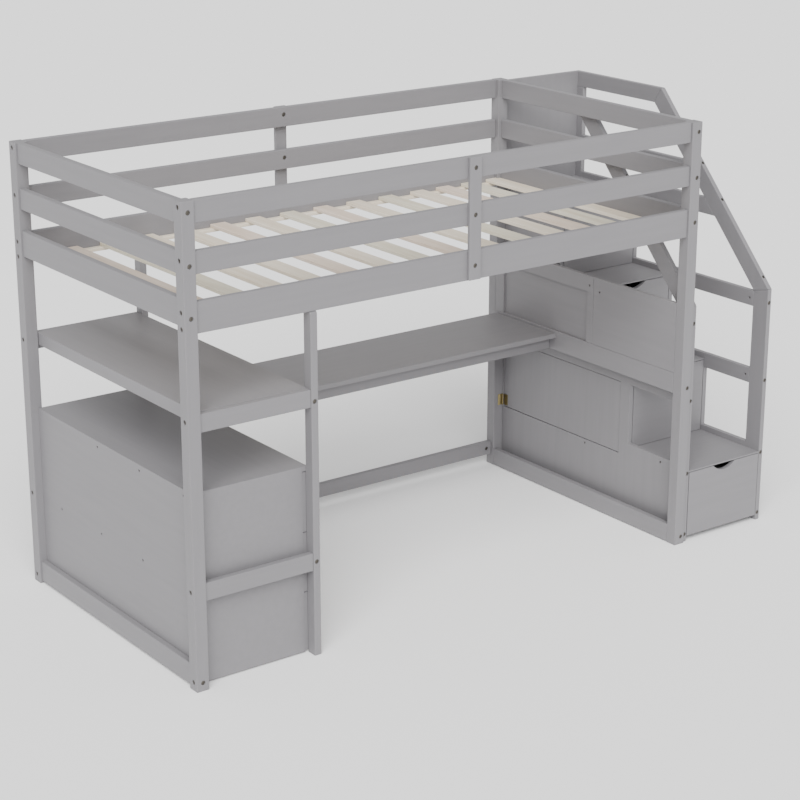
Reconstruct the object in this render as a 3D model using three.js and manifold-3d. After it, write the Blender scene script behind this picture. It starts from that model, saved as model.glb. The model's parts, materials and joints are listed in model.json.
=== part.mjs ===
// Loft bed with a desk, a chest of drawers under a raised shelf, and storage stairs at one end.
// Millimetres, +Z up. The layout is worked out from the front left post's outer foot (X along the bed,
// Y from front to back), then the whole group is moved so the middle of its footprint is the origin.
import * as THREE from "three";
import { mergeVertices } from "three/addons/utils/BufferGeometryUtils.js";
import Module from "manifold-3d";

const wasm = await Module();
wasm.setup();

// ---- driving dimensions ----

const fit = 0.3; // gap between two pieces that are screwed or rest together

// bed frame
const bedLength = 2000;
const bedWidth = 1066;
const bedHeight = 1507;
const postSide = 43;
const railThick = 21;
const railInset = 7; // rails stand back this far from the outer faces of the posts
const railHeight = 68;
const railSpace = 80; // open height between the top rail and the middle rail
const deckHeight = 1140; // upper face of the slats
const sideRailDrop = 24; // side rail below the slats
const sideRailHeight = 95;
const endBoardDrop = 3; // end boards below the slats
const leftEndBoardHeight = 84;
const rightEndBoardHeight = 73;

// upright stiles screwed to the outside of the guard rails
const stileWidth = 46;
const stileThick = 12;
const frontStileX = 1018;
const rearStileX = 1000;
const stileFoot = 2; // lower end of a stile above the lower edge of the side rail

// posts between the shelf bay and the desk bay
const midPostX = 430;
const midPostWidth = 25;
const midPostInset = 5;
const midPostRound = 9;

// slats and their ledgers
const slatWidth = 60;
const slatThick = 12;
const slatEndGap = 5;
const closePitch = 117;
const secondSlatX = 150;
const widePitches = 10;
const closePitches = 3;
const slatLetIn = 2;
const ledgerWidth = 21.7;

// shelf over the chest
const wingHeight = 875;
const wingThick = 18;
const wingLipDrop = 23;
const wingLipThick = 15;
const wingRailHeight = 57;
const wingRailStep = 1; // rails below the upper face of the shelf
const wingEndGap = 2;

// desk
const deskHeight = 620;
const deskThick = 17;
const deskDepth = 349;
const deskRearGap = 5; // desk edge in front of the rear posts
const apronThick = 16;
const apronDrop = 47;
const apronSetback = 34;
const deskEndRailHeight = 74;
const deskEndRailRise = 10; // end rail above the desk's upper face
const lowRailThick = 21;
const lowRearRailFoot = 42;
const lowRearRailHeight = 53;
const rightFootRailFoot = 3;
const rightFootRailHeight = 65;
const leftFootRailFoot = 8;
const leftFootRailHeight = 71;
const chestStretcherFoot = 287;
const chestStretcherHeight = 58;

// panel between the right hand posts, over the desk's end rail
const upperPanelThick = 16;
const upperPanelRise = 3; // top edge above the raised shelf
const pocketDepth = 8;
const pocketFront = 503;
const pocketRearEdge = 91; // pocket's rear edge from the bed's rear face
const pocketTopEdge = 60;
const seamWidth = 2;
const seamFront = 468;

// chest
const chestWidth = 437; // right face from the bed's left face
const chestFoot = 4;
const chestBoard = 16;
const chestEndPanel = 18;
const chestBottomRise = 16; // bottom board above the lower edges of the sides
const chestDrawers = 3;
const chestFrontThick = 18;
const chestFrontRebate = 1; // gap between a drawer front and the edges it covers
const chestFrontGap = 3; // between one front and the next
const chestFrontInset = 2;
const chestFrontFoot = 4;
const chestBoxGap = 2;
const chestBoxHead = 12;
const chestRunner = 12;
const chestDividerGap = 1; // cubby side of the divider ahead of the desk's front edge
const cubbyShelfHeight = 312;
const cubbyShelfSetback = 12;

// stairs
const stairBoard = 18;
const stairClear = 346; // between the two side panels
const stairFront = 7;
const legWidth = 70;
const legRise = 30; // outer corner of a leg above the third step
const braceSlope = 1.08; // rise over run of the sloping guards
const braceAcross = 87.2; // width of a sloping guard measured along the level
const topRailDrop = 10; // outer top rail below the bed's top rail
const topRailHeight = 57;
const landingPostWidth = 49;
const firstStepHeight = 285; // lowest upper edge of the side panels
const stepRise = 276.5;
const treadDrop = 20; // treads below the side panels' upper edges
const treadThick = 18;
const treadLip = 5; // thickness left over the drawer front under a tread's nose
const firstGoing = 299;
const treadGoing = 200;
const treadRun = 194; // part of a tread that runs on under the drawer above it
const panelFoot = 5;
const backFoot = 20;
const lowGuardDrop = 54; // lower edge of a guard below the step it ends at
const midGuardDrop = 46;
const highGuardDrop = 36;
const landingGuardRise = 82;
const lowGuardHeight = 55;
const midGuardHeight = 56;
const highGuardHeight = 60;
const landingGuardHeight = 60;
const backPanelThick = 18;
const headerRise = 1; // header over the door above the second step

// drawers in the stairs
const frontThick = 16;
const frontSideGap = 3;
const lipSetback = 24; // full thickness of a tread behind the drawer front
const frontFootGap = 1.5;
const frontTopGap = 2;
const boxInset = 8;
const boxWall = 12;
const boxFloor = 8;
const boxHeadGap = 20; // box walls below the front's top edge
const lowestFrontFoot = 20;
const lowestDrawerGap = 6; // lowest drawer's rear ahead of the second tread's nose
const cleatTop = 24;
const cleatThick = 12;
const cleatWidth = 24;
const landingDrawerGap = 8;
const notchWidth = 105;
const notchDepth = 22;

// cupboard in the stairs
const floorThick = 18;
const floorDrop = 29; // cupboard floor below the first tread
const doorFrontEdge = 50; // front edge of the doorway behind the second tread's nose
const doorGap = 2;
const doorThick = 16;
const headerHeight = 54;

// door hinges
const pinRadius = 3.5;
const pinInset = 3.8; // pin centre out from the stairs' inner face
const pinSetback = 4; // pin centre in front of the rear post
const leafThick = 1.4;
const leafWidth = 21;
const knuckleHeight = 43;
const knuckleEdge = 5; // knuckle from the door's upper or lower edge

// ---- levels and lines that several pieces share ----

const railY = [railInset, railInset + railThick];
const rearRailY = [bedWidth - railY[1], bedWidth - railY[0]];
const railX = [railInset, railInset + railThick];
const rightRailX = [bedLength - railX[1], bedLength - railX[0]];
const spanX = [postSide + fit, bedLength - postSide - fit];
const spanY = [postSide + fit, bedWidth - postSide - fit];
const betweenRailsY = [railY[1] + fit, rearRailY[0] - fit];
const innerPostX = bedLength - postSide;
const rearPostY = bedWidth - postSide;

const topRailZ = [bedHeight - railHeight, bedHeight];
const middleRailZ = [topRailZ[0] - railSpace - railHeight, topRailZ[0] - railSpace];
const sideRailZ = [deckHeight - sideRailDrop, deckHeight - sideRailDrop + sideRailHeight];
const endBoardFoot = deckHeight - endBoardDrop;
const wingX = [postSide + fit, midPostX - fit];
const wingRailZ = [wingHeight - wingRailStep - wingRailHeight, wingHeight - wingRailStep];

const deskY = [rearPostY - deskRearGap - deskDepth, rearPostY - deskRearGap];
const deskEndRailZ = [deskHeight + deskEndRailRise - deskEndRailHeight, deskHeight + deskEndRailRise];
const deskX = [chestWidth + fit, innerPostX - fit];

const stairX = bedLength + fit;
const inner = [stairX, stairX + stairBoard];
const outer = [inner[1] + stairClear, inner[1] + stairClear + stairBoard];
const between = [inner[1] + fit, outer[0] - fit];
const overallLength = outer[1];
const backY = [bedWidth - backPanelThick, bedWidth];
const stairRearY = backY[0] - fit;
const stepTop = [0, 1, 2, 3].map((step) => firstStepHeight + step * stepRise);
const treadTop = stepTop.map((top) => top - treadDrop);
const treadNose = [0, 1, 2, 3].map((step) => stairFront + (step ? firstGoing + (step - 1) * treadGoing : 0));
const legY = [stairFront, stairFront + legWidth];
const legTop = stepTop[2] + legRise;
const braceTop = bedHeight - topRailDrop;
const cupboardFloorTop = treadTop[0] - floorDrop;
const headerTop = stepTop[1] + headerRise;
const doorway = {
  y: [treadNose[1] + doorFrontEdge, rearPostY - deskRearGap],
  z: [cupboardFloorTop, Math.min(headerTop - headerHeight, deskEndRailZ[0])],
};

// Outer and inner edges of a sloping guard: the Y at which each passes a height.
const braceOuterY = (z) => stairFront + (z - legTop) / braceSlope;
const braceInnerY = (z) => braceOuterY(z) + braceAcross;
const legInnerTop = legTop + braceSlope * (legWidth - braceAcross);

// ---- solids ----

function manifold(geometry) {
  const bare = geometry.index ? geometry.toNonIndexed() : geometry.clone();
  bare.deleteAttribute("normal");
  bare.deleteAttribute("uv");
  const merged = mergeVertices(bare, 1e-3);
  return new wasm.Manifold(
    new wasm.Mesh({
      numProp: 3,
      vertProperties: merged.attributes.position.array,
      triVerts: new Uint32Array(merged.index.array),
    }),
  );
}

function geometryOf(solid) {
  const mesh = solid.getMesh();
  const geometry = new THREE.BufferGeometry();
  geometry.setAttribute("position", new THREE.BufferAttribute(mesh.vertProperties, mesh.numProp));
  geometry.setIndex(new THREE.BufferAttribute(mesh.triVerts, 1));
  const faceted = geometry.toNonIndexed();
  faceted.computeVertexNormals();
  return faceted;
}

const join = (...parts) => geometryOf(parts.map(manifold).reduce((sum, part) => sum.add(part)));
const cut = (body, ...tools) =>
  geometryOf(tools.map(manifold).reduce((rest, tool) => rest.subtract(tool), manifold(body)));

// A box from its ranges along X, Y and Z.
function slab(x, y, z) {
  const box = new THREE.BoxGeometry(x[1] - x[0], y[1] - y[0], z[1] - z[0]);
  return box.translate((x[0] + x[1]) / 2, (y[0] + y[1]) / 2, (z[0] + z[1]) / 2);
}

// A flat board standing in a plane of constant X, from its outline in Y and Z.
function board(x, outline) {
  const shape = new THREE.Shape(outline.map(([y, z]) => new THREE.Vector2(y, z)));
  const extruded = new THREE.ExtrudeGeometry(shape, { depth: x[1] - x[0], bevelEnabled: false });
  const turn = new THREE.Matrix4().makeBasis(
    new THREE.Vector3(0, 1, 0),
    new THREE.Vector3(0, 0, 1),
    new THREE.Vector3(1, 0, 0),
  );
  return extruded.applyMatrix4(turn).translate(x[0], 0, 0);
}

// Points on a quarter circle that rounds a corner of an outline, from one angle to the next.
function rounded(centreY, centreZ, radius, from, to) {
  const steps = 6;
  return Array.from({ length: steps + 1 }, (_, i) => {
    const angle = from + ((to - from) * i) / steps;
    return [centreY + radius * Math.cos(angle), centreZ + radius * Math.sin(angle)];
  });
}

const group = new THREE.Group();
group.name = "loft_bed";

const finishes = {
  paint: { color: 0xa3a2a6, roughness: 0.55, metalness: 0 },
  pine: { color: 0xd9cfc0, roughness: 0.7, metalness: 0 },
  brass: { color: 0xb08d4f, roughness: 0.4, metalness: 0.9 },
};

function add(name, geometry, finish = "paint") {
  const mesh = new THREE.Mesh(geometry, new THREE.MeshStandardMaterial(finishes[finish]));
  mesh.name = name;
  group.add(mesh);
}

// ---- bed frame ----

function addPosts() {
  const left = [0, postSide];
  const right = [innerPostX, bedLength];
  const front = [0, postSide];
  const rear = [rearPostY, bedWidth];
  const full = [0, bedHeight];
  add("post_front_left", slab(left, front, full));
  add("post_rear_left", slab(left, rear, full));
  add("post_front_right", slab(right, front, full));
  add("post_rear_right", slab(right, rear, full));
}

// A middle post, with its upper outer corner rounded where it meets the side rail.
function addMidPosts() {
  const x = [midPostX, midPostX + midPostWidth];
  const top = sideRailZ[0] - fit;
  const r = midPostRound;
  const y = midPostInset;
  const corner = rounded(y + r, top - r, r, Math.PI / 2, Math.PI);
  const outline = [[y, 0], [postSide, 0], [postSide, top], ...corner];
  add("mid_post_front", board(x, outline));
  const mirrored = outline.map(([py, pz]) => [bedWidth - py, pz]).reverse();
  add("mid_post_rear", board(x, mirrored));
}

function addRails() {
  add("rail_front_top", slab(spanX, railY, topRailZ));
  add("rail_front_middle", slab(spanX, railY, middleRailZ));
  add("side_rail_front", slab(spanX, railY, sideRailZ));
  add("rail_rear_top", slab(spanX, rearRailY, topRailZ));
  add("rail_rear_middle", slab(spanX, rearRailY, middleRailZ));
  add("side_rail_rear", slab(spanX, rearRailY, sideRailZ));
  add("rail_left_top", slab(railX, spanY, topRailZ));
  add("rail_left_middle", slab(railX, spanY, middleRailZ));
  add("end_board_left", slab(railX, spanY, [endBoardFoot, endBoardFoot + leftEndBoardHeight]));
  add("rail_right_top", slab(rightRailX, spanY, topRailZ));
  add("rail_right_middle", slab(rightRailX, spanY, middleRailZ));
  add("end_board_right", slab(rightRailX, spanY, [endBoardFoot, endBoardFoot + rightEndBoardHeight]));
}

function addStiles() {
  const z = [sideRailZ[0] + stileFoot, bedHeight];
  const front = railY[0] - fit;
  const rear = rearRailY[1] + fit;
  add("guard_stile_front", slab([frontStileX, frontStileX + stileWidth], [front - stileThick, front], z));
  add("guard_stile_rear", slab([rearStileX, rearStileX + stileWidth], [rear, rear + stileThick], z));
}

// The slats and the two ledgers they are let into, cleared round the corner posts.
function addSlatDeck() {
  const lastSlatX = rightRailX[0] - fit - slatWidth;
  const widePitch = (lastSlatX - closePitches * closePitch - secondSlatX) / widePitches;
  const lefts = [railX[1] + slatEndGap];
  for (let i = 0; i <= widePitches; i += 1) lefts.push(secondSlatX + i * widePitch);
  for (let i = closePitches - 1; i >= 0; i -= 1) lefts.push(lastSlatX - i * closePitch);
  const slatZ = [deckHeight - slatThick, deckHeight];
  const slats = lefts.map((x) => slab([x, x + slatWidth], betweenRailsY, slatZ));
  const ledgerZ = [sideRailZ[0], slatZ[0] + slatLetIn];
  const [y0, y1] = betweenRailsY;
  const ledgers = [
    slab(spanX, [y0, y0 + ledgerWidth], ledgerZ),
    slab(spanX, [y1 - ledgerWidth, y1], ledgerZ),
  ];
  const clear = [];
  for (const x of [[-fit, postSide + fit], [innerPostX - fit, bedLength + fit]]) {
    for (const y of [[-fit, postSide + fit], [rearPostY - fit, bedWidth + fit]]) {
      clear.push(slab(x, y, [ledgerZ[0] - 1, deckHeight + 1]));
    }
  }
  add("slat_deck", cut(join(...slats, ...ledgers), ...clear), "pine");
}

// ---- shelf bay and desk ----

function addWing() {
  const x = [postSide + wingEndGap, midPostX - 1];
  const z = [wingHeight - wingThick, wingHeight];
  const top = slab(x, betweenRailsY, z);
  const lip = slab([x[0], x[0] + wingLipThick], betweenRailsY, [z[0] - wingLipDrop, z[0] + 1]);
  add("wing_shelf", join(top, lip));
  add("wing_rail_front", slab(wingX, railY, wingRailZ));
  add("wing_rail_rear", slab(wingX, rearRailY, wingRailZ));
}

function addDesk() {
  const z = [deskHeight - deskThick, deskHeight];
  const apronY = deskY[0] + apronSetback;
  const top = slab(deskX, deskY, z);
  const apron = slab(deskX, [apronY, apronY + apronThick], [z[0] - apronDrop, z[0] + 1]);
  add("desk_top", join(top, apron));
  add("desk_end_rail", slab([innerPostX, innerPostX + lowRailThick], spanY, deskEndRailZ));
}

function addLowRails() {
  const midPostEnd = midPostX + midPostWidth + fit;
  const rearZ = [lowRearRailFoot, lowRearRailFoot + lowRearRailHeight];
  add("low_rail_rear", slab([midPostEnd, spanX[1]], rearRailY, rearZ));
  const rightZ = [rightFootRailFoot, rightFootRailFoot + rightFootRailHeight];
  add("bottom_rail_right", slab([innerPostX, innerPostX + lowRailThick], spanY, rightZ));
  const leftZ = [leftFootRailFoot, leftFootRailFoot + leftFootRailHeight];
  add("bottom_rail_left", slab(railX, spanY, leftZ));
  const stretcherZ = [chestStretcherFoot, chestStretcherFoot + chestStretcherHeight];
  add("chest_stretcher", slab(wingX, railY, stretcherZ));
}

// The panel over the desk's end rail, with a shallow pocket and two seams beside a narrow stile.
function addUpperPanel() {
  const x = [innerPostX, innerPostX + upperPanelThick];
  const z = [deskEndRailZ[1] + fit, wingHeight + upperPanelRise];
  const floor = [x[0] - 1, x[0] + pocketDepth];
  const groove = [x[0] - 1, x[0] + seamWidth];
  const pocketZ = [z[0] - 1, z[1] - pocketTopEdge];
  const pocket = slab(floor, [pocketFront, bedWidth - pocketRearEdge], pocketZ);
  const seam = slab(groove, [seamFront, seamFront + seamWidth], [z[0] - 1, z[1] + 1]);
  add("side_panel_upper", cut(slab(x, spanY, z), pocket, seam));
}

// ---- drawers ----

// A drawer facing -Y, with the lower left corner of its front at the origin. Its box is `cover` in from
// each end of the front, `lift` above the front's lower edge and `head` below its upper edge. The upper
// edge of the front has a half-moon notch for the fingers.
function drawer({ width, depth, height, thick, cover, lift, head }) {
  const face = slab([0, width], [0, thick], [0, height]);
  const x = [cover, width - cover];
  const box = slab(x, [thick - 1, depth], [lift, height - head]);
  const hollowX = [x[0] + boxWall, x[1] - boxWall];
  const hollow = slab(hollowX, [thick, depth - boxWall], [lift + boxFloor, height + 1]);
  const radius = (notchWidth ** 2 / 4 + notchDepth ** 2) / (2 * notchDepth);
  const notch = new THREE.CylinderGeometry(radius, radius, 3 * thick, 72);
  notch.translate(width / 2, 0, height - notchDepth + radius);
  return cut(join(face, box), hollow, notch);
}

function addChest() {
  const x = [railX[1] + fit, chestWidth];
  const faceX = chestWidth - chestFrontThick - chestFrontRebate;
  const z = [chestFoot, deskHeight];
  const under = deskHeight - chestBoard;
  const bottomZ = [chestFoot + chestBottomRise, chestFoot + chestBottomRise + chestBoard];
  const dividerY = [deskY[0] - chestDividerGap - chestEndPanel, deskY[0] - chestDividerGap];
  const frontWallY = [spanY[0], spanY[0] + chestEndPanel];
  const rearWallY = [spanY[1] - chestEndPanel, spanY[1]];
  const shelfZ = [cubbyShelfHeight, cubbyShelfHeight + chestBoard];
  const frontsFoot = chestFoot + chestFrontFoot;
  const pitch = (under - frontsFoot) / chestDrawers;
  const lift = bottomZ[1] + fit - frontsFoot;

  const panels = [
    slab([x[0], x[0] + chestBoard], spanY, z),
    slab([x[0], faceX], frontWallY, z),
    slab(x, rearWallY, z),
    slab([x[0], faceX], dividerY, [bottomZ[0], deskHeight]),
    slab(x, spanY, [under, deskHeight]),
    slab([x[0], faceX], spanY, bottomZ),
    slab([x[0], chestWidth - cubbyShelfSetback], [dividerY[1] - 1, rearWallY[1]], shelfZ),
  ];
  const runnerX = [x[0] + chestBoard - 1, faceX - chestRunner];
  for (let i = 1; i < chestDrawers; i += 1) {
    const runnerTop = frontsFoot + i * pitch + lift - fit;
    const runnerZ = [runnerTop - chestRunner, runnerTop];
    panels.push(slab(runnerX, [frontWallY[1] - 1, frontWallY[1] + chestRunner], runnerZ));
    panels.push(slab(runnerX, [dividerY[0] - chestRunner, dividerY[0] + 1], runnerZ));
  }
  add("chest_case", join(...panels));

  const frontY = [spanY[0] + chestFrontInset, dividerY[1] - chestFrontInset];
  const size = {
    width: frontY[1] - frontY[0],
    depth: chestWidth - x[0] - chestBoard - chestFrontInset,
    height: pitch - chestFrontGap,
    thick: chestFrontThick,
    cover: chestEndPanel + chestBoxGap,
    lift,
    head: chestBoxHead,
  };
  ["bottom", "middle", "top"].forEach((level, i) => {
    const body = drawer(size).rotateZ(Math.PI / 2);
    add(`chest_drawer_${level}`, body.translate(chestWidth, frontY[0], frontsFoot + i * pitch));
  });
}

function addStairDrawers() {
  const last = treadTop.length - 1;
  treadTop.forEach((top, step) => {
    const foot = step ? treadTop[step - 1] + frontFootGap : lowestFrontFoot;
    const size = {
      width: stairClear - 2 * frontSideGap,
      depth: treadRun,
      height: top - treadLip - frontTopGap - foot,
      thick: frontThick,
      cover: boxInset,
      lift: fit - frontFootGap,
      head: boxHeadGap,
    };
    if (step === 0) {
      size.depth = firstGoing - lowestDrawerGap;
      size.lift = cleatTop + fit - lowestFrontFoot;
    }
    if (step === last) size.depth = stairRearY - landingDrawerGap - treadNose[last];
    const body = drawer(size);
    add(`stair_drawer_${step + 1}`, body.translate(inner[1] + frontSideGap, treadNose[step], foot));
  });
}

// ---- stairs ----

function addLegsAndGuards() {
  const mitreDrop = fit / 2;
  const leg = [
    [legY[0], 0],
    [legY[1], 0],
    [legY[1], legInnerTop - mitreDrop],
    [legY[0], legTop - mitreDrop],
  ];
  add("stair_leg_outer", board(outer, leg));
  add("stair_leg_inner", board(inner, leg));

  const braceFoot = [
    [legY[0], legTop + mitreDrop],
    [legY[1], legInnerTop + mitreDrop],
  ];
  const topRailZ0 = braceTop - topRailHeight;
  const mitreShift = fit;
  const outerHead = [
    [braceInnerY(topRailZ0), topRailZ0],
    [braceOuterY(braceTop), braceTop],
  ];
  add("stair_diagonal_outer", board(outer, [...braceFoot, ...outerHead]));
  const topRail = [
    [braceInnerY(topRailZ0) + mitreShift, topRailZ0],
    [bedWidth, topRailZ0],
    [bedWidth, braceTop],
    [braceOuterY(braceTop) + mitreShift, braceTop],
  ];
  add("stair_top_rail_outer", board(outer, topRail));

  const innerHead = [
    [braceInnerY(braceTop), braceTop],
    [braceOuterY(braceTop), braceTop],
  ];
  add("stair_diagonal_inner", board(inner, [...braceFoot, ...innerHead]));

  const postY = [bedWidth - landingPostWidth, bedWidth];
  add("landing_post_outer", slab(outer, postY, [0, topRailZ0 - fit]));

  const guard = (name, foot, height, endY, start) => {
    const outline = [
      [start(foot), foot],
      [endY, foot],
      [endY, foot + height],
      [start(foot + height), foot + height],
    ];
    add(name, board(outer, outline));
  };
  const fromLeg = () => legY[1] + fit;
  const fromBrace = (z) => braceInnerY(z) + mitreShift;
  const [, second, third, landing] = stepTop;
  guard("guard_rail_low", second - lowGuardDrop, lowGuardHeight, treadNose[1] - fit, fromLeg);
  guard("guard_rail_mid", third - midGuardDrop, midGuardHeight, treadNose[2] - fit, fromLeg);
  guard("guard_rail_high", landing - highGuardDrop, highGuardHeight, treadNose[3] - fit, fromBrace);
  guard("landing_guard_rail", landing + landingGuardRise, landingGuardHeight, postY[0] - fit, fromBrace);
}

// A cleat under the lowest drawer, let into the side panel that carries it.
const cleat = (x) => slab(x, [legY[1] + fit, treadNose[1]], [cleatTop - cleatThick, cleatTop]);

function addStairPanels() {
  const front = legY[1] + fit;
  const [first, second, third, landing] = stepTop;
  const [, nose2, nose3, nose4] = treadNose;
  const outerRear = bedWidth - landingPostWidth - fit;
  const outerOutline = [
    [front, panelFoot],
    [outerRear, panelFoot],
    [outerRear, landing],
    [nose4, landing],
    [nose4, third],
    [nose3, third],
    [nose3, second],
    [nose2, second],
    [nose2, first],
    [front, first],
  ];
  const outerCleat = cleat([outer[0] - cleatWidth, outer[0] + 1]);
  add("stair_side_outer", join(board(outer, outerOutline), outerCleat));

  const innerOutline = [
    [front, panelFoot],
    [stairRearY, panelFoot],
    [stairRearY, landing],
    [nose4, landing],
    [nose4, third],
    [nose3, third],
    [nose3, headerTop],
    [front, headerTop],
    [front, doorway.z[1]],
    [nose2, doorway.z[1]],
    [nose2, first],
    [front, first],
  ];
  const innerCleat = cleat([inner[1] - 1, inner[1] + cleatWidth]);
  const opening = slab([inner[0] - 1, inner[1] + 1], doorway.y, doorway.z);
  add("stair_side_inner", cut(join(board(inner, innerOutline), innerCleat), opening));

  add("stair_back_panel", slab([inner[0], outer[0] - fit], backY, [backFoot, braceTop]));
  add("cabinet_floor", slab(between, [nose2, stairRearY], [cupboardFloorTop - floorThick, cupboardFloorTop]));
}

// A tread's nose is thinned from below, where it runs on over the front of the drawer under it.
function addTreads() {
  treadTop.forEach((top, step) => {
    const noseAbove = treadNose[step + 1];
    const runsToBack = step >= 2;
    const rear = runsToBack ? stairRearY : noseAbove + treadRun;
    const tread = slab(between, [treadNose[step], rear], [top - treadThick, top]);
    const overFront = [treadNose[step] - 1, treadNose[step] + frontThick + lipSetback];
    const rebate = slab([between[0] - 1, between[1] + 1], overFront, [top - treadThick - 1, top - treadLip]);
    add(`tread_${step + 1}`, cut(tread, rebate));
  });
}

// The cupboard door with its two hinge leaves, and the frame halves of the hinges on the rear post.
function addDoor() {
  const x = [inner[1] - doorThick, inner[1]];
  const y = [doorway.y[0] + doorGap, doorway.y[1] - doorGap];
  const z = [doorway.z[0] + doorGap, doorway.z[1] - doorGap];
  const knuckleFeet = [z[0] + knuckleEdge, z[1] - knuckleEdge - knuckleHeight];
  const doorLeaves = knuckleFeet.map((foot) =>
    slab([x[0] - leafThick, x[0] + 1], [y[1] - leafWidth, y[1]], [foot, foot + knuckleHeight]),
  );
  add("cabinet_door", join(slab(x, y, z), ...doorLeaves));

  const pinX = inner[0] - pinInset;
  const pinY = rearPostY - pinSetback;
  const leafY = [rearPostY - fit - leafThick, rearPostY - fit];
  ["lower", "upper"].forEach((level, i) => {
    const foot = knuckleFeet[i];
    const pin = new THREE.CylinderGeometry(pinRadius, pinRadius, knuckleHeight, 48);
    pin.rotateX(Math.PI / 2).translate(pinX, pinY, foot + knuckleHeight / 2);
    const leaf = slab([pinX - leafWidth, pinX], leafY, [foot, foot + knuckleHeight]);
    add(`door_hinge_${level}`, join(pin, leaf), "brass");
  });
}

addPosts();
addMidPosts();
addRails();
addStiles();
addSlatDeck();
addWing();
addDesk();
addLowRails();
addUpperPanel();
addChest();
addLegsAndGuards();
addStairPanels();
addTreads();
addStairDrawers();
addDoor();

group.position.set(-overallLength / 2, -bedWidth / 2, 0);

export default group;
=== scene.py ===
import json
import math

import bmesh
import bpy
from mathutils import Matrix, Vector


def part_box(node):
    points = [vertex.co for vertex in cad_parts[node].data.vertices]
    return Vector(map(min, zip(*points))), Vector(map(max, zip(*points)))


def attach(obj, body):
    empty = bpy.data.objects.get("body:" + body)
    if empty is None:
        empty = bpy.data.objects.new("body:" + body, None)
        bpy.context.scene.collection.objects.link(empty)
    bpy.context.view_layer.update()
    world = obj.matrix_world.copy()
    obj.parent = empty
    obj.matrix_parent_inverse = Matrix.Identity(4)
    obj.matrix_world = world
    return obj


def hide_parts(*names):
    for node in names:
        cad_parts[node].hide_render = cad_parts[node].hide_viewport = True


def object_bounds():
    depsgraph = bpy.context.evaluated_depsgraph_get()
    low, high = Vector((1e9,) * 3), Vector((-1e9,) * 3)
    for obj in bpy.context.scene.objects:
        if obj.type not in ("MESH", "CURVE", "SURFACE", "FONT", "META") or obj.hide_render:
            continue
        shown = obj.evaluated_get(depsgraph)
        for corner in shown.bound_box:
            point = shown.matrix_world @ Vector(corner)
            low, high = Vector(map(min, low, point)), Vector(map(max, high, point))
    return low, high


bl_info = {
    "name": "Loft Bed with Desk",
    "version": (1, 0, 0),
    "blender": (4, 2, 0),
    "location": "3D View > Sidebar > Loft Bed",
    "description": "Finishes the boards, slats, hinges and bolts of a loft bed with storage stairs",
    "category": "Object",
}

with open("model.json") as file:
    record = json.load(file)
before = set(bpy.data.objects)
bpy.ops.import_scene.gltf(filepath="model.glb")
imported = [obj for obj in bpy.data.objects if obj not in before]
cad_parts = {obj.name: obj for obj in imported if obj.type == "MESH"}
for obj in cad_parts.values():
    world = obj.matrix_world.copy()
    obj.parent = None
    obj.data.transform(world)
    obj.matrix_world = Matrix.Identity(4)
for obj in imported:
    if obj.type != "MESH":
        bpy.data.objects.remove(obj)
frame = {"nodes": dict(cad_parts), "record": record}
cad_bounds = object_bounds()

MM = 0.001
HALF_LENGTH = cad_bounds[1].x
HALF_WIDTH = 0.533  # half the width over the corner posts, without the stiles outside them
BODY_OF = {
    node: body for body, nodes in frame["record"]["behaviour"]["bodies"].items() for node in nodes
}
WELD = 1e-5  # corners closer than this are one corner
SNAP = 1e-4  # faces closer than this are level with each other
ROUND_SIDES = 24  # sides of a drilled pocket and of the head in it
POCKET_CLEARANCE = 0.0007  # round a head in its pocket
POCKET_FLOOR = 0.002  # pocket below the top of the head


# ---- settings ----


class LoftPaintSettings(bpy.types.PropertyGroup):
    colour: bpy.props.FloatVectorProperty(
        name="Paint", description="Colour of the painted boards", subtype="COLOR",
        size=3, min=0, max=1, default=(0.200, 0.194, 0.203))
    shade: bpy.props.FloatVectorProperty(
        name="Paint in the grain", description="Colour where the paint sinks into the grain",
        subtype="COLOR", size=3, min=0, max=1, default=(0.190, 0.184, 0.193))
    roughness: bpy.props.FloatProperty(
        name="Roughness", description="How dull the paint is", min=0, max=1, default=0.5)
    board_ease: bpy.props.FloatProperty(
        name="Board edge", description="Rounding on the edges of posts and rails", unit="LENGTH",
        default=0.0022)
    panel_ease: bpy.props.FloatProperty(
        name="Panel edge", description="Rounding on the edges of thin panels", unit="LENGTH",
        default=0.0012)


class LoftSlatSettings(bpy.types.PropertyGroup):
    cream: bpy.props.FloatVectorProperty(
        name="Cream slat", description="Palest slats", subtype="COLOR", size=3, min=0, max=1,
        default=(0.70, 0.63, 0.52))
    rosy: bpy.props.FloatVectorProperty(
        name="Rosy slat", description="Slats with a pink cast", subtype="COLOR", size=3, min=0, max=1,
        default=(0.67, 0.57, 0.48))
    green: bpy.props.FloatVectorProperty(
        name="Green slat", description="Slats with a green cast", subtype="COLOR", size=3, min=0, max=1,
        default=(0.64, 0.60, 0.49))
    ease: bpy.props.FloatProperty(
        name="Slat edge", description="Rounding on a slat's edges", unit="LENGTH", default=0.002)


class LoftHardwareSettings(bpy.types.PropertyGroup):
    bolt_radius: bpy.props.FloatProperty(
        name="Bolt radius", description="Radius of a bolt head", unit="LENGTH", default=0.007)
    screw_radius: bpy.props.FloatProperty(
        name="Screw radius", description="Radius of a screw head", unit="LENGTH", default=0.0038)
    recess: bpy.props.FloatProperty(
        name="Recess", description="How far a head sits below the surface", unit="LENGTH", default=0.0022)
    bolt_colour: bpy.props.FloatVectorProperty(
        name="Bolt", description="Colour of the bolt heads", subtype="COLOR", size=3, min=0, max=1,
        default=(0.13, 0.12, 0.105))
    brass_colour: bpy.props.FloatVectorProperty(
        name="Hinge", description="Colour of the hinges", subtype="COLOR", size=3, min=0, max=1,
        default=(0.25, 0.205, 0.10))


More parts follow.
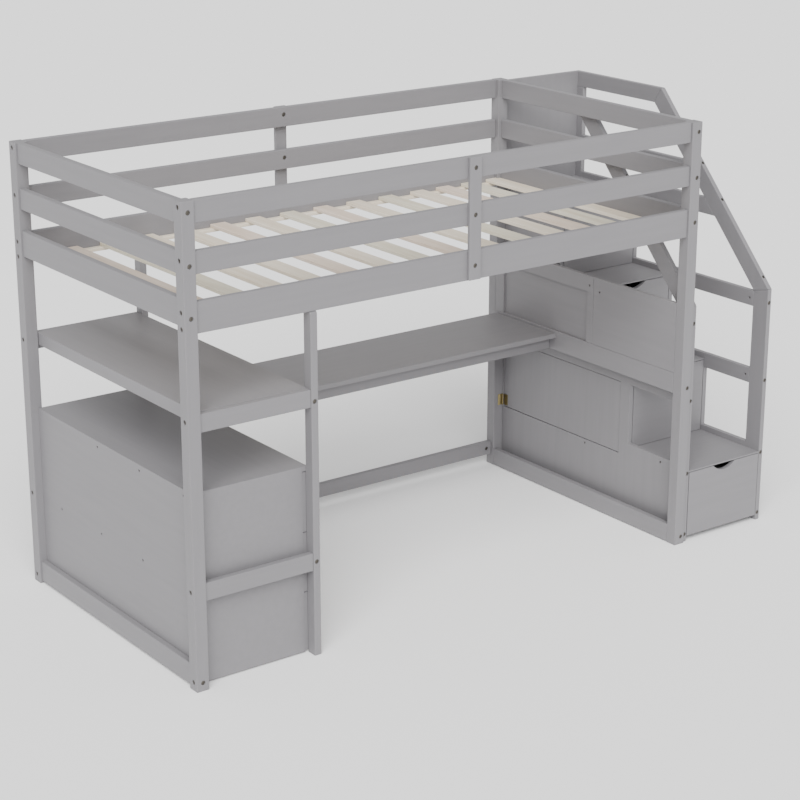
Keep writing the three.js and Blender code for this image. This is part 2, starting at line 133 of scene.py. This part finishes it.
class LoftStageSettings(bpy.types.PropertyGroup):
    floor_colour: bpy.props.FloatVectorProperty(
        name="Floor", description="Colour of the floor", subtype="COLOR", size=3, min=0, max=1,
        default=(0.95, 0.95, 0.95))
    sky: bpy.props.FloatProperty(
        name="Room light", description="Strength of the light from all round", min=0, default=0.75)
    key: bpy.props.FloatProperty(
        name="Key light", description="Strength of the soft light from the front left", min=0, default=4.9)
    lens: bpy.props.FloatProperty(
        name="Lens", description="Focal length in millimetres", min=1, default=93.6)


# ---- finishes ----


def shader(name):
    """A new material and its principled shader."""
    material = bpy.data.materials.new(name)
    material.use_nodes = True
    return material, material.node_tree.nodes["Principled BSDF"]


def grained(name, light, dark, roughness, along, fineness, relief):
    """A material with a streaky grain along one axis of the piece's own coordinates."""
    material, principled = shader(name)
    nodes, links = material.node_tree.nodes, material.node_tree.links
    principled.inputs["Roughness"].default_value = roughness
    coordinates = nodes.new("ShaderNodeTexCoord")
    mapping = nodes.new("ShaderNodeMapping")
    mapping.inputs["Scale"].default_value = [1.2 if axis == along else fineness for axis in range(3)]
    links.new(coordinates.outputs["Object"], mapping.inputs["Vector"])
    streaks = nodes.new("ShaderNodeTexNoise")
    streaks.inputs["Scale"].default_value = 3.0
    streaks.inputs["Detail"].default_value = 6.0
    streaks.inputs["Roughness"].default_value = 0.6
    links.new(mapping.outputs["Vector"], streaks.inputs["Vector"])
    ramp = nodes.new("ShaderNodeValToRGB")
    ramp.color_ramp.elements[0].position = 0.3
    ramp.color_ramp.elements[0].color = (*dark, 1)
    ramp.color_ramp.elements[1].position = 0.62
    ramp.color_ramp.elements[1].color = (*light, 1)
    links.new(streaks.outputs["Fac"], ramp.inputs["Fac"])
    links.new(ramp.outputs["Color"], principled.inputs["Base Color"])
    bump = nodes.new("ShaderNodeBump")
    bump.inputs["Strength"].default_value = relief
    bump.inputs["Distance"].default_value = 0.0006
    links.new(streaks.outputs["Fac"], bump.inputs["Height"])
    links.new(bump.outputs["Normal"], principled.inputs["Normal"])
    return material


def metal(name, colour, roughness):
    """A plain metal."""
    material, principled = shader(name)
    principled.inputs["Base Color"].default_value = (*colour, 1)
    principled.inputs["Metallic"].default_value = 1.0
    principled.inputs["Roughness"].default_value = roughness
    return material


def paint(along):
    """The grey paint, with the wood's grain showing faintly along axis 0, 1 or 2."""
    name = "grey_paint_" + "xyz"[along]
    known = bpy.data.materials.get(name)
    if known:
        return known
    look = bpy.context.scene.loft_paint
    return grained(name, look.colour, look.shade, look.roughness, along, 16.0, 0.12)


def slat_wood(cast, along):
    """Bare wood of one cast, with its grain along axis 0 or 1."""
    name = f"bare_wood_{cast}_{'xy'[along]}"
    known = bpy.data.materials.get(name)
    if known:
        return known
    light = getattr(bpy.context.scene.loft_slats, cast)
    dark = [channel * shade for channel, shade in zip(light, (0.88, 0.84, 0.78))]
    return grained(name, light, dark, 0.62, along, 22.0, 0.25)


def bolt_metal():
    known = bpy.data.materials.get("bolt_metal")
    return known or metal("bolt_metal", bpy.context.scene.loft_hardware.bolt_colour, 0.42)


def hinge_brass():
    known = bpy.data.materials.get("dull_brass")
    return known or metal("dull_brass", bpy.context.scene.loft_hardware.brass_colour, 0.42)


# ---- making pieces ----


def place(x, y, z):
    """A point in the row frame from millimetres off the front left post's outer foot."""
    return Vector((x * MM - HALF_LENGTH, y * MM - HALF_WIDTH, z * MM))


def new_piece(name, solid, material, body, replaced=()):
    """Turns a bmesh into an object that moves with a body and stands for the nodes it replaces."""
    mesh = bpy.data.meshes.new(name)
    solid.to_mesh(mesh)
    solid.free()
    piece = bpy.data.objects.new(name, mesh)
    bpy.context.scene.collection.objects.link(piece)
    mesh.materials.append(material)
    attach(piece, body)
    if replaced:
        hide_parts(*replaced)
    return piece


def solid_copy(node):
    """The node's mesh with its triangles joined up and its flat faces made whole."""
    solid = bmesh.new()
    solid.from_mesh(frame["nodes"][node].data)
    bmesh.ops.remove_doubles(solid, verts=solid.verts, dist=WELD)
    bmesh.ops.dissolve_limit(
        solid, angle_limit=math.radians(1), use_dissolve_boundaries=False,
        verts=solid.verts, edges=solid.edges, delimit={"NORMAL"})
    return solid


def ease_edges(solid, radius, segments=2):
    """Rounds every sharp edge."""
    least = math.radians(30)
    sharp = [edge for edge in solid.edges if edge.is_manifold and edge.calc_face_angle(0) > least]
    bmesh.ops.bevel(
        solid, geom=sharp, offset=radius, offset_type="OFFSET", segments=segments, profile=0.5,
        affect="EDGES", clamp_overlap=True, material=-1)
    bmesh.ops.remove_doubles(solid, verts=solid.verts, dist=WELD)
    bmesh.ops.dissolve_degenerate(solid, dist=WELD, edges=solid.edges)


def longest_axis(solid):
    """The axis, 0, 1 or 2, along which a solid is longest."""
    spans = []
    for axis in range(3):
        along = [vert.co[axis] for vert in solid.verts]
        spans.append(max(along) - min(along))
    return spans.index(max(spans))


def slab(lo, hi):
    """A plain box between two corners."""
    solid = bmesh.new()
    size = hi - lo
    at = Matrix.Translation((lo + hi) / 2) @ Matrix.Diagonal((*size, 1))
    bmesh.ops.create_cube(solid, size=1, matrix=at)
    return solid


def painted(node, radius, along=None):
    """A CAD board with eased edges and the grey paint."""
    solid = solid_copy(node)
    grain = longest_axis(solid) if along is None else along
    ease_edges(solid, radius)
    return new_piece(node + "_painted", solid, paint(grain), BODY_OF[node], [node])


# ---- recessed heads ----

TOWARDS = {
    "left": Vector((-1, 0, 0)),
    "front": Vector((0, -1, 0)),
    "rear": Vector((0, 1, 0)),
}


def facing(point, normal):
    """A placement at a point with its Z axis along a normal."""
    return Matrix.Translation(point) @ normal.to_track_quat("Z", "Y").to_matrix().to_4x4()


def drill(piece, heads):
    """Cuts a round pocket for each head into a piece."""
    look = bpy.context.scene.loft_hardware
    cutter = bmesh.new()
    for point, normal, radius in heads:
        bore = radius + POCKET_CLEARANCE
        bmesh.ops.create_cone(
            cutter, cap_ends=True, segments=ROUND_SIDES, radius1=bore, radius2=bore,
            depth=2 * (look.recess + POCKET_FLOOR), matrix=facing(point, normal))
    mesh = bpy.data.meshes.new("drill_bits")
    cutter.to_mesh(mesh)
    cutter.free()
    bits = bpy.data.objects.new("drill_bits", mesh)
    bpy.context.scene.collection.objects.link(bits)
    cut = piece.modifiers.new("pockets", "BOOLEAN")
    cut.operation = "DIFFERENCE"
    cut.solver = "EXACT"
    cut.object = bits
    graph = bpy.context.evaluated_depsgraph_get()
    drilled = bpy.data.meshes.new_from_object(piece.evaluated_get(graph))
    piece.modifiers.remove(cut)
    plain = piece.data
    piece.data = drilled
    drilled.name = piece.name
    bpy.data.meshes.remove(plain)
    bpy.data.objects.remove(bits)
    bpy.data.meshes.remove(mesh)


def socket_heads(name, heads, body):
    """Bolt and screw heads with a socket, seated in their pockets."""
    look = bpy.context.scene.loft_hardware
    thick, sunk = 0.0018, 0.0012
    solid = bmesh.new()
    for point, normal, radius in heads:
        seat = facing(point - normal * (look.recess + thick / 2), normal)
        made = bmesh.ops.create_cone(
            solid, cap_ends=True, segments=ROUND_SIDES, radius1=radius, radius2=radius * 0.9,
            depth=thick, matrix=seat)
        caps = {face for vert in made["verts"] for face in vert.link_faces if len(face.verts) > 4}
        top = max(caps, key=lambda face: face.normal.dot(normal))
        bmesh.ops.inset_region(solid, faces=[top], thickness=radius * 0.4)
        socket = bmesh.ops.extrude_discrete_faces(solid, faces=[top])["faces"][0]
        bmesh.ops.translate(solid, verts=socket.verts, vec=-normal * sunk)
    return new_piece(name, solid, bolt_metal(), body)


# Where the heads are: the piece, the side they face, then their places on that side in millimetres.
# A place is (from the left, up) on a front or rear side, and (from the front, up) on a left one.
POST_SIDE_BOLTS = (1488, 1334, 1182, 1133, 854, 321, 28)
POST_FRONT_BOLTS = (1473, 1318, 1165, 28)
BOLTS = [
    ("post_front_left", "left", [(20, z) for z in POST_SIDE_BOLTS]),
    ("post_rear_left", "left", [(1046, z) for z in POST_SIDE_BOLTS]),
    ("post_front_left", "front", [(22, z) for z in POST_FRONT_BOLTS]),
    ("post_rear_left", "rear", [(22, z) for z in POST_FRONT_BOLTS]),
    ("post_front_right", "front", [(1985, z) for z in (*POST_FRONT_BOLTS, 579)]),
    ("post_rear_right", "rear", [(1985, z) for z in (*POST_FRONT_BOLTS, 579)]),
    ("post_rear_right", "front", [(1982, 1475), (1982, 1322)]),
    ("mid_post_front", "front", [(442, 835), (442, 316)]),
    ("mid_post_rear", "rear", [(442, 835), (442, 68)]),
    ("guard_stile_front", "front", [(1041, 1473), (1041, 1325), (1041, 1164)]),
    ("guard_stile_rear", "rear", [(1023, 1473), (1023, 1325), (1023, 1164)]),
    ("rail_rear_top", "front", [(1022, 1481)]),
    ("rail_rear_middle", "front", [(1022, 1331)]),
    ("low_rail_rear", "front", [(1935, 68)]),
    ("stair_leg_outer", "front", [(2373, 818), (2373, 532), (2373, 260), (2373, 28)]),
    ("stair_leg_inner", "front", [(2009, 805), (2009, 525), (2009, 257), (2009, 28)]),
]
SCREWS = [
    ("guard_rail_mid", "left", [(95, 820)]),
    ("guard_rail_low", "left", [(95, 535)]),
    ("chest_case", "left", [(355, 305), (620, 305), (890, 305)]),
    ("chest_case", "left", [(90, 600), (355, 600), (620, 600)]),
    ("side_panel_upper", "left", [(490, 843), (436, 829)]),
    ("stair_side_inner", "left", [(135, 265), (540, 222)]),
]
# Bolts in the sloping edges of the stairs' guards, by their distance from the front.
SLOPE_BOLTS = [
    ("stair_diagonal_outer", (42, 262, 368)),
    ("stair_diagonal_inner", (42, 262, 368, 473)),
]


def head_places(node, side, spots, radius):
    """Heads on one flat side of a piece."""
    lo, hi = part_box(node)
    heads = []
    for across, up in spots:
        point = place(across, across, up)
        if side == "left":
            point.x = lo.x
        else:
            point.y = lo.y if side == "front" else hi.y
        heads.append((point, TOWARDS[side], radius))
    return heads


def slope_places(node, spots, radius):
    """Heads along the outer edge of a sloping guard, found from its own corners."""
    verts = frame["nodes"][node].data.vertices
    lo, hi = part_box(node)
    foot = max((v.co for v in verts if v.co.y < lo.y + SNAP), key=lambda co: co.z)
    head = min((v.co for v in verts if v.co.z > hi.z - SNAP), key=lambda co: co.y)
    run = Vector((0, head.y - foot.y, head.z - foot.z))
    normal = Vector((0, -run.z, run.y)).normalized()
    heads = []
    for spot in spots:
        y = place(0, spot, 0).y
        point = Vector(((lo.x + hi.x) / 2, y, foot.z + (y - foot.y) * run.z / run.y))
        heads.append((point, normal, radius))
    return heads


def all_heads():
    """Every head, by the node it is let into."""
    look = bpy.context.scene.loft_hardware
    found = {}
    for rows, radius in ((BOLTS, look.bolt_radius), (SCREWS, look.screw_radius)):
        for node, side, spots in rows:
            found.setdefault(node, []).extend(head_places(node, side, spots, radius))
    for node, spots in SLOPE_BOLTS:
        found.setdefault(node, []).extend(slope_places(node, spots, look.bolt_radius * 0.8))
    return found


def fit_out(nodes, radius, along=None):
    """Paints a list of nodes, and drills those that take bolts."""
    heads = all_heads()
    for node in nodes:
        piece = painted(node, radius, along)
        if node in heads:
            drill(piece, heads[node])


# ---- operators ----


class LOFT_OT_bed_frame(bpy.types.Operator):
    """Finishes the posts, rails, end boards and stiles"""

    bl_idname = "loft.bed_frame"
    bl_label = "Bed frame"

    def execute(self, context):
        posts = ["post_front_left", "post_rear_left", "post_front_right", "post_rear_right"]
        posts += ["mid_post_front", "mid_post_rear", "guard_stile_front", "guard_stile_rear"]
        rails = ["rail_front_top", "rail_front_middle", "side_rail_front"]
        rails += ["rail_rear_top", "rail_rear_middle", "side_rail_rear"]
        rails += ["rail_left_top", "rail_left_middle", "end_board_left"]
        rails += ["rail_right_top", "rail_right_middle", "end_board_right"]
        rails += ["low_rail_rear", "bottom_rail_right", "bottom_rail_left", "chest_stretcher"]
        fit_out(posts + rails, context.scene.loft_paint.board_ease)
        return {"FINISHED"}


class LOFT_OT_slats(bpy.types.Operator):
    """Makes each slat and ledger a board of its own"""

    bl_idname = "loft.slats"
    bl_label = "Slats"

    CASTS = (
        "cream", "rosy", "green", "cream", "cream", "rosy",
        "cream", "green", "rosy", "cream", "green",
    )
    THICK = 12 * MM

    def execute(self, context):
        lo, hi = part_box("slat_deck")
        deck = solid_copy("slat_deck")
        tops, feet = [], []
        for face in deck.faces:
            xs = [v.co.x for v in face.verts]
            ys = [v.co.y for v in face.verts]
            outline = (min(xs), min(ys), max(xs), max(ys))
            if face.normal.z > 0.9 and face.verts[0].co.z > hi.z - SNAP:
                tops.append(outline)
            if face.normal.z < -0.9 and face.verts[0].co.z < lo.z + SNAP:
                feet.append(outline)
        deck.free()
        if (len(tops), len(feet)) != (15, 2):
            raise RuntimeError(f"the slats and ledgers were not told apart: {len(tops)}, {len(feet)}")
        ease = context.scene.loft_slats.ease
        for i, (x0, y0, x1, y1) in enumerate(sorted(tops)):
            board = slab(Vector((x0, y0, hi.z - self.THICK)), Vector((x1, y1, hi.z)))
            ease_edges(board, ease, 3)
            cast = slat_wood(self.CASTS[i % len(self.CASTS)], 1)
            replaced = ["slat_deck"] if i == 0 else []
            new_piece(f"slat_{i + 1:02d}", board, cast, "loft_frame", replaced)
        feet.sort(key=lambda outline: outline[1])
        for side, (x0, y0, x1, y1) in zip(("front", "rear"), feet):
            board = slab(Vector((x0, y0, lo.z)), Vector((x1, y1, hi.z - self.THICK)))
            ease_edges(board, ease)
            new_piece(f"ledger_{side}", board, slat_wood("cream", 0), "loft_frame")
        return {"FINISHED"}


class LOFT_OT_shelf_and_desk(bpy.types.Operator):
    """Finishes the raised shelf, the desk and the panel over its end rail"""

    bl_idname = "loft.shelf_and_desk"
    bl_label = "Shelf and desk"

    def execute(self, context):
        look = context.scene.loft_paint
        fit_out(["wing_rail_front", "wing_rail_rear", "desk_end_rail"], look.board_ease)
        fit_out(["wing_shelf", "side_panel_upper"], look.panel_ease, along=1)
        fit_out(["desk_top"], look.panel_ease, along=0)
        return {"FINISHED"}


class LOFT_OT_chest(bpy.types.Operator):
    """Finishes the chest and its drawers"""

    bl_idname = "loft.chest"
    bl_label = "Chest"

    def execute(self, context):
        look = context.scene.loft_paint
        fit_out(["chest_case"], look.panel_ease, along=1)
        drawers = [f"chest_drawer_{level}" for level in ("bottom", "middle", "top")]
        fit_out(drawers, look.panel_ease, along=1)
        return {"FINISHED"}


class LOFT_OT_stairs(bpy.types.Operator):
    """Finishes the legs, guards, side panels and treads of the stairs"""

    bl_idname = "loft.stairs"
    bl_label = "Stairs"

    def execute(self, context):
        look = context.scene.loft_paint
        boards = ["stair_leg_outer", "stair_leg_inner", "stair_diagonal_outer", "stair_diagonal_inner"]
        boards += ["stair_top_rail_outer", "landing_post_outer"]
        boards += ["guard_rail_low", "guard_rail_mid", "guard_rail_high", "landing_guard_rail"]
        fit_out(boards, look.board_ease * 0.8)
        fit_out(["stair_side_outer", "stair_side_inner", "stair_back_panel"], look.panel_ease, along=2)
        fit_out(["cabinet_floor", "tread_1", "tread_2", "tread_3", "tread_4"], look.panel_ease, along=0)
        return {"FINISHED"}


class LOFT_OT_stair_drawers(bpy.types.Operator):
    """Finishes the drawers in the stairs"""

    bl_idname = "loft.stair_drawers"
    bl_label = "Stair drawers"

    def execute(self, context):
        look = context.scene.loft_paint
        fit_out([f"stair_drawer_{step}" for step in (1, 2, 3, 4)], look.panel_ease, along=0)
        return {"FINISHED"}


class LOFT_OT_cupboard(bpy.types.Operator):
    """Makes the cupboard's door with its leaves, and the hinges on the post"""

    bl_idname = "loft.cupboard"
    bl_label = "Cupboard door"

    LEAF_THICK = 1.4 * MM
    LEAF_WIDTH = 21 * MM
    LEAF_EASE = 0.4 * MM
    LEAF_SINK = 0.2 * MM  # leaf let into the door, so that no gap shows
    PIN_CREASE = math.radians(35)

    def execute(self, context):
        look = context.scene.loft_paint
        lo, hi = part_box("cabinet_door")
        panel = slab(Vector((lo.x + self.LEAF_THICK, lo.y, lo.z)), hi.copy())
        ease_edges(panel, look.panel_ease)
        new_piece("cupboard_door", panel, paint(2), "door_body", ["cabinet_door"])
        for level in ("lower", "upper"):
            node = "door_hinge_" + level
            foot, head = (corner.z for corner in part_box(node))
            pin = new_piece(
                f"hinge_{level}_on_post", solid_copy(node), hinge_brass(), "loft_frame",
                [node])
            pin.data.set_sharp_from_angle(angle=self.PIN_CREASE)
            inner_face = lo.x + self.LEAF_THICK + self.LEAF_SINK
            plate = slab(Vector((lo.x, hi.y - self.LEAF_WIDTH, foot)), Vector((inner_face, hi.y, head)))
            ease_edges(plate, self.LEAF_EASE)
            new_piece(f"hinge_{level}_on_door", plate, hinge_brass(), "door_body")
        return {"FINISHED"}


class LOFT_OT_fixings(bpy.types.Operator):
    """Sets a head into each drilled pocket"""

    bl_idname = "loft.fixings"
    bl_label = "Bolts and screws"

    def execute(self, context):
        for node, heads in all_heads().items():
            socket_heads(node + "_heads", heads, BODY_OF[node])
        return {"FINISHED"}


class LOFT_OT_stage(bpy.types.Operator):
    """Sets the floor, the lights and the camera"""

    bl_idname = "loft.stage"
    bl_label = "Stage"

    FLOOR_REACH = 30
    KEY_SPREAD = math.radians(48)
    KEY_DIRECTION = Vector((3.5, 4.5, -5.0))
    CAMERA_PITCH = math.radians(18.45)
    CAMERA_YAW = math.radians(36.28)

    def execute(self, context):
        look = context.scene.loft_stage
        floor_mesh = bpy.data.meshes.new("floor")
        plane = bmesh.new()
        bmesh.ops.create_grid(plane, x_segments=1, y_segments=1, size=self.FLOOR_REACH)
        plane.to_mesh(floor_mesh)
        plane.free()
        floor = bpy.data.objects.new("floor", floor_mesh)
        context.scene.collection.objects.link(floor)
        material, principled = shader("pale_floor")
        principled.inputs["Base Color"].default_value = (*look.floor_colour, 1)
        principled.inputs["Roughness"].default_value = 0.9
        floor_mesh.materials.append(material)

        world = bpy.data.worlds.new("studio")
        world.use_nodes = True
        background = world.node_tree.nodes["Background"]
        background.inputs["Color"].default_value = (1, 1, 1, 1)
        background.inputs["Strength"].default_value = look.sky
        context.scene.world = world

        key_data = bpy.data.lights.new("key_light", "SUN")
        key_data.energy = look.key
        key_data.angle = self.KEY_SPREAD
        key = bpy.data.objects.new("key_light", key_data)
        context.scene.collection.objects.link(key)
        key.rotation_euler = self.KEY_DIRECTION.to_track_quat("-Z", "Y").to_euler()

        camera_data = bpy.data.cameras.new("camera")
        camera_data.lens = look.lens
        camera_data.sensor_width = 36
        camera = bpy.data.objects.new("camera", camera_data)
        context.scene.collection.objects.link(camera)
        camera.location = place(-2850, -4911, 2812)
        camera.rotation_euler = (math.radians(90) - self.CAMERA_PITCH, 0, -self.CAMERA_YAW)
        context.scene.camera = camera
        return {"FINISHED"}


class LOFT_PT_sidebar(bpy.types.Panel):
    """Lists the steps that finish the bed"""

    bl_label = "Loft Bed"
    bl_idname = "LOFT_PT_sidebar"
    bl_space_type = "VIEW_3D"
    bl_region_type = "UI"
    bl_category = "Loft Bed"

    def draw(self, context):
        for step in STEPS:
            self.layout.operator(step.bl_idname)


STEPS = (
    LOFT_OT_bed_frame,
    LOFT_OT_slats,
    LOFT_OT_shelf_and_desk,
    LOFT_OT_chest,
    LOFT_OT_stairs,
    LOFT_OT_stair_drawers,
    LOFT_OT_cupboard,
    LOFT_OT_fixings,
    LOFT_OT_stage,
)
GROUPS = {
    "loft_paint": LoftPaintSettings,
    "loft_slats": LoftSlatSettings,
    "loft_hardware": LoftHardwareSettings,
    "loft_stage": LoftStageSettings,
}


def register():
    for group in GROUPS.values():
        bpy.utils.register_class(group)
    for name, group in GROUPS.items():
        setattr(bpy.types.Scene, name, bpy.props.PointerProperty(type=group))
    for step in (*STEPS, LOFT_PT_sidebar):
        bpy.utils.register_class(step)


def unregister():
    for step in reversed((*STEPS, LOFT_PT_sidebar)):
        bpy.utils.unregister_class(step)
    for name in GROUPS:
        delattr(bpy.types.Scene, name)
    for group in reversed(GROUPS.values()):
        bpy.utils.unregister_class(group)


def main():
    register()
    bpy.ops.loft.bed_frame()
    bpy.ops.loft.slats()
    bpy.ops.loft.shelf_and_desk()
    bpy.ops.loft.chest()
    bpy.ops.loft.stairs()
    bpy.ops.loft.stair_drawers()
    bpy.ops.loft.cupboard()
    bpy.ops.loft.fixings()
    bpy.ops.loft.stage()


if __name__ == "__main__":
    main()
